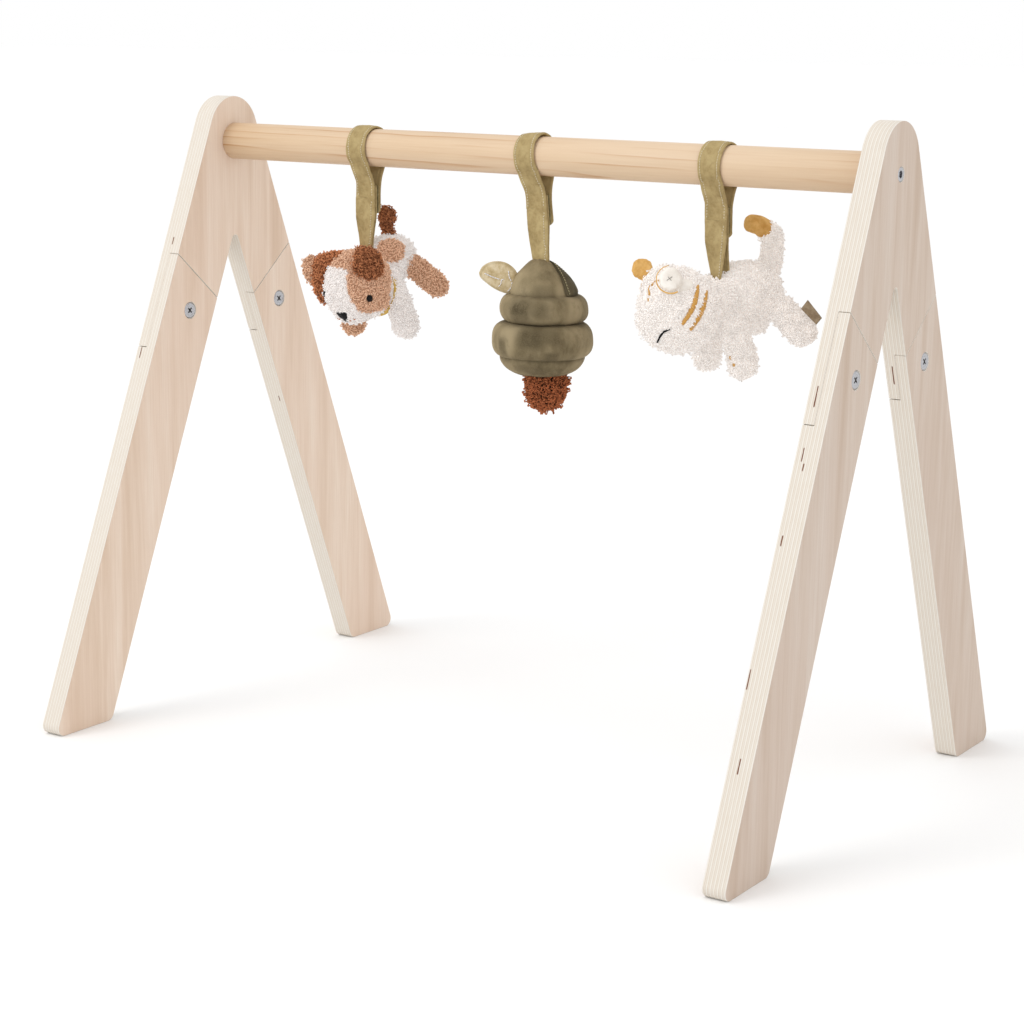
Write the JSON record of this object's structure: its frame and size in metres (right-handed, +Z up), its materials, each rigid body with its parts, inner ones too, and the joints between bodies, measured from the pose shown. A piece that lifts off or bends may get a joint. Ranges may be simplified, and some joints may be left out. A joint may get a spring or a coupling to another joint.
{
  "type": "activity play gym",
  "caption": "Wooden baby play gym: lap-jointed plywood A-frames bolted to a round bar, with plush puppy, beehive and tiger toys hung on hook-and-loop velvet straps.",
  "frame": {"origin": "on the floor, at the middle of the four feet's outline", "axes": "+X along the bar to the right end, +Y towards the back, +Z up"},
  "size_m": [0.626, 0.4456, 0.505],
  "materials": {
    "birch_ply": "pale birch plywood, satin clear finish, ply lines on the cut edges",
    "pine_bar": "turned pine, satin clear finish, long grain along the bar",
    "plated_steel": "zinc plated, satin",
    "strap_velvet": "khaki cotton velvet, short nap, stitched along the edges",
    "hook_tape": "woven hook-and-loop tape",
    "white_boucle": "white looped pile, matt",
    "tan_boucle": "tan looped pile, matt",
    "brown_boucle": "dark brown curly pile, matt",
    "black_thread": "black embroidery thread, slightly glossy",
    "mustard_ribbon": "mustard ribbon, matt",
    "olive_velvet": "olive velvet, short nap",
    "leaf_velvet": "pale velvet with white stitched veins",
    "dark_velvet": "dark olive velvet with a stitched line",
    "russet_boucle": "reddish brown looped pile, matt",
    "mustard_velvet": "mustard velvet, short nap",
    "woven_label": "taupe woven label, folded"
  },
  "bodies": {
    "frame": {"left_head": "birch_ply", "right_head": "birch_ply", "left_front_leg": "birch_ply", "left_back_leg": "birch_ply", "right_front_leg": "birch_ply", "right_back_leg": "birch_ply", "bar": "pine_bar", "bar_bolts": "plated_steel", "bar_inserts": "plated_steel", "leg_bolts": "plated_steel", "leg_nuts": "plated_steel"},
    "puppy_hanger": {"puppy_strap_wrap": "strap_velvet"},
    "puppy_drop": {"puppy_strap_front": "strap_velvet", "puppy_strap_back": "strap_velvet", "puppy_strap_short": "strap_velvet", "puppy_hook_tape": "hook_tape", "puppy_loop_tape": "hook_tape"},
    "puppy_toy": {"puppy_body": "white_boucle", "puppy_head": "white_boucle", "puppy_left_ear": "brown_boucle", "puppy_right_ear": "brown_boucle", "puppy_nose": "black_thread", "puppy_eyes": "black_thread", "puppy_collar": "mustard_ribbon", "puppy_left_front_leg": "white_boucle", "puppy_right_front_leg": "tan_boucle", "puppy_left_hind_leg": "tan_boucle", "puppy_right_hind_leg": "tan_boucle", "puppy_tail": "brown_boucle"},
    "hive_hanger": {"hive_strap_wrap": "strap_velvet"},
    "hive_drop": {"hive_strap_front": "strap_velvet", "hive_strap_back": "strap_velvet", "hive_strap_short": "strap_velvet", "hive_hook_tape": "hook_tape", "hive_loop_tape": "hook_tape"},
    "hive_toy": {"hive_dome": "olive_velvet", "hive_upper_roll": "olive_velvet", "hive_lower_roll": "olive_velvet", "hive_base": "olive_velvet", "hive_leaf": "leaf_velvet", "hive_flap": "dark_velvet", "hive_pompom": "russet_boucle"},
    "tiger_hanger": {"tiger_strap_wrap": "strap_velvet"},
    "tiger_drop": {"tiger_strap_front": "strap_velvet", "tiger_strap_back": "strap_velvet", "tiger_strap_short": "strap_velvet", "tiger_hook_tape": "hook_tape", "tiger_loop_tape": "hook_tape"},
    "tiger_toy": {"tiger_body": "white_boucle", "tiger_head": "white_boucle", "tiger_left_ear": "mustard_velvet", "tiger_right_ear": "mustard_velvet", "tiger_left_front_leg": "white_boucle", "tiger_right_front_leg": "white_boucle", "tiger_left_hind_leg": "white_boucle", "tiger_right_hind_leg": "white_boucle", "tiger_tail": "white_boucle", "tiger_tail_tip": "mustard_velvet", "tiger_label": "woven_label"}
  },
  "joints": [
    {"name": "puppy_slide", "type": "slide", "parent": "frame", "child": "puppy_hanger", "axis": [1, 0, 0], "range_m": [-0.055, 0.015]},
    {"name": "puppy_swing", "type": "hinge", "parent": "puppy_hanger", "child": "puppy_drop", "pos_m": [-0.154, 0, 0.468], "axis": [1, 0, 0], "range_deg": [-35, 35]},
    {"name": "puppy_twist", "type": "hinge", "parent": "puppy_drop", "child": "puppy_toy", "pos_m": [-0.154, 0, 0.398], "axis": [0, 0, 1], "range_deg": [-30, 30]},
    {"name": "hive_slide", "type": "slide", "parent": "frame", "child": "hive_hanger", "axis": [1, 0, 0], "range_m": [-0.015, 0.015]},
    {"name": "hive_swing", "type": "hinge", "parent": "hive_hanger", "child": "hive_drop", "pos_m": [0.008, 0, 0.468], "axis": [1, 0, 0], "range_deg": [-35, 35]},
    {"name": "hive_twist", "type": "hinge", "parent": "hive_drop", "child": "hive_toy", "pos_m": [0.0154, 0, 0.3925], "axis": [0, 0, 1], "range_deg": [-30, 30]},
    {"name": "tiger_slide", "type": "slide", "parent": "frame", "child": "tiger_hanger", "axis": [1, 0, 0], "range_m": [-0.015, 0.04]},
    {"name": "tiger_swing", "type": "hinge", "parent": "tiger_hanger", "child": "tiger_drop", "pos_m": [0.169, 0, 0.468], "axis": [1, 0, 0], "range_deg": [-35, 35]},
    {"name": "tiger_twist", "type": "hinge", "parent": "tiger_drop", "child": "tiger_toy", "pos_m": [0.169, 0, 0.392], "axis": [0, 0, 1], "range_deg": [-30, 30]}
  ]
}
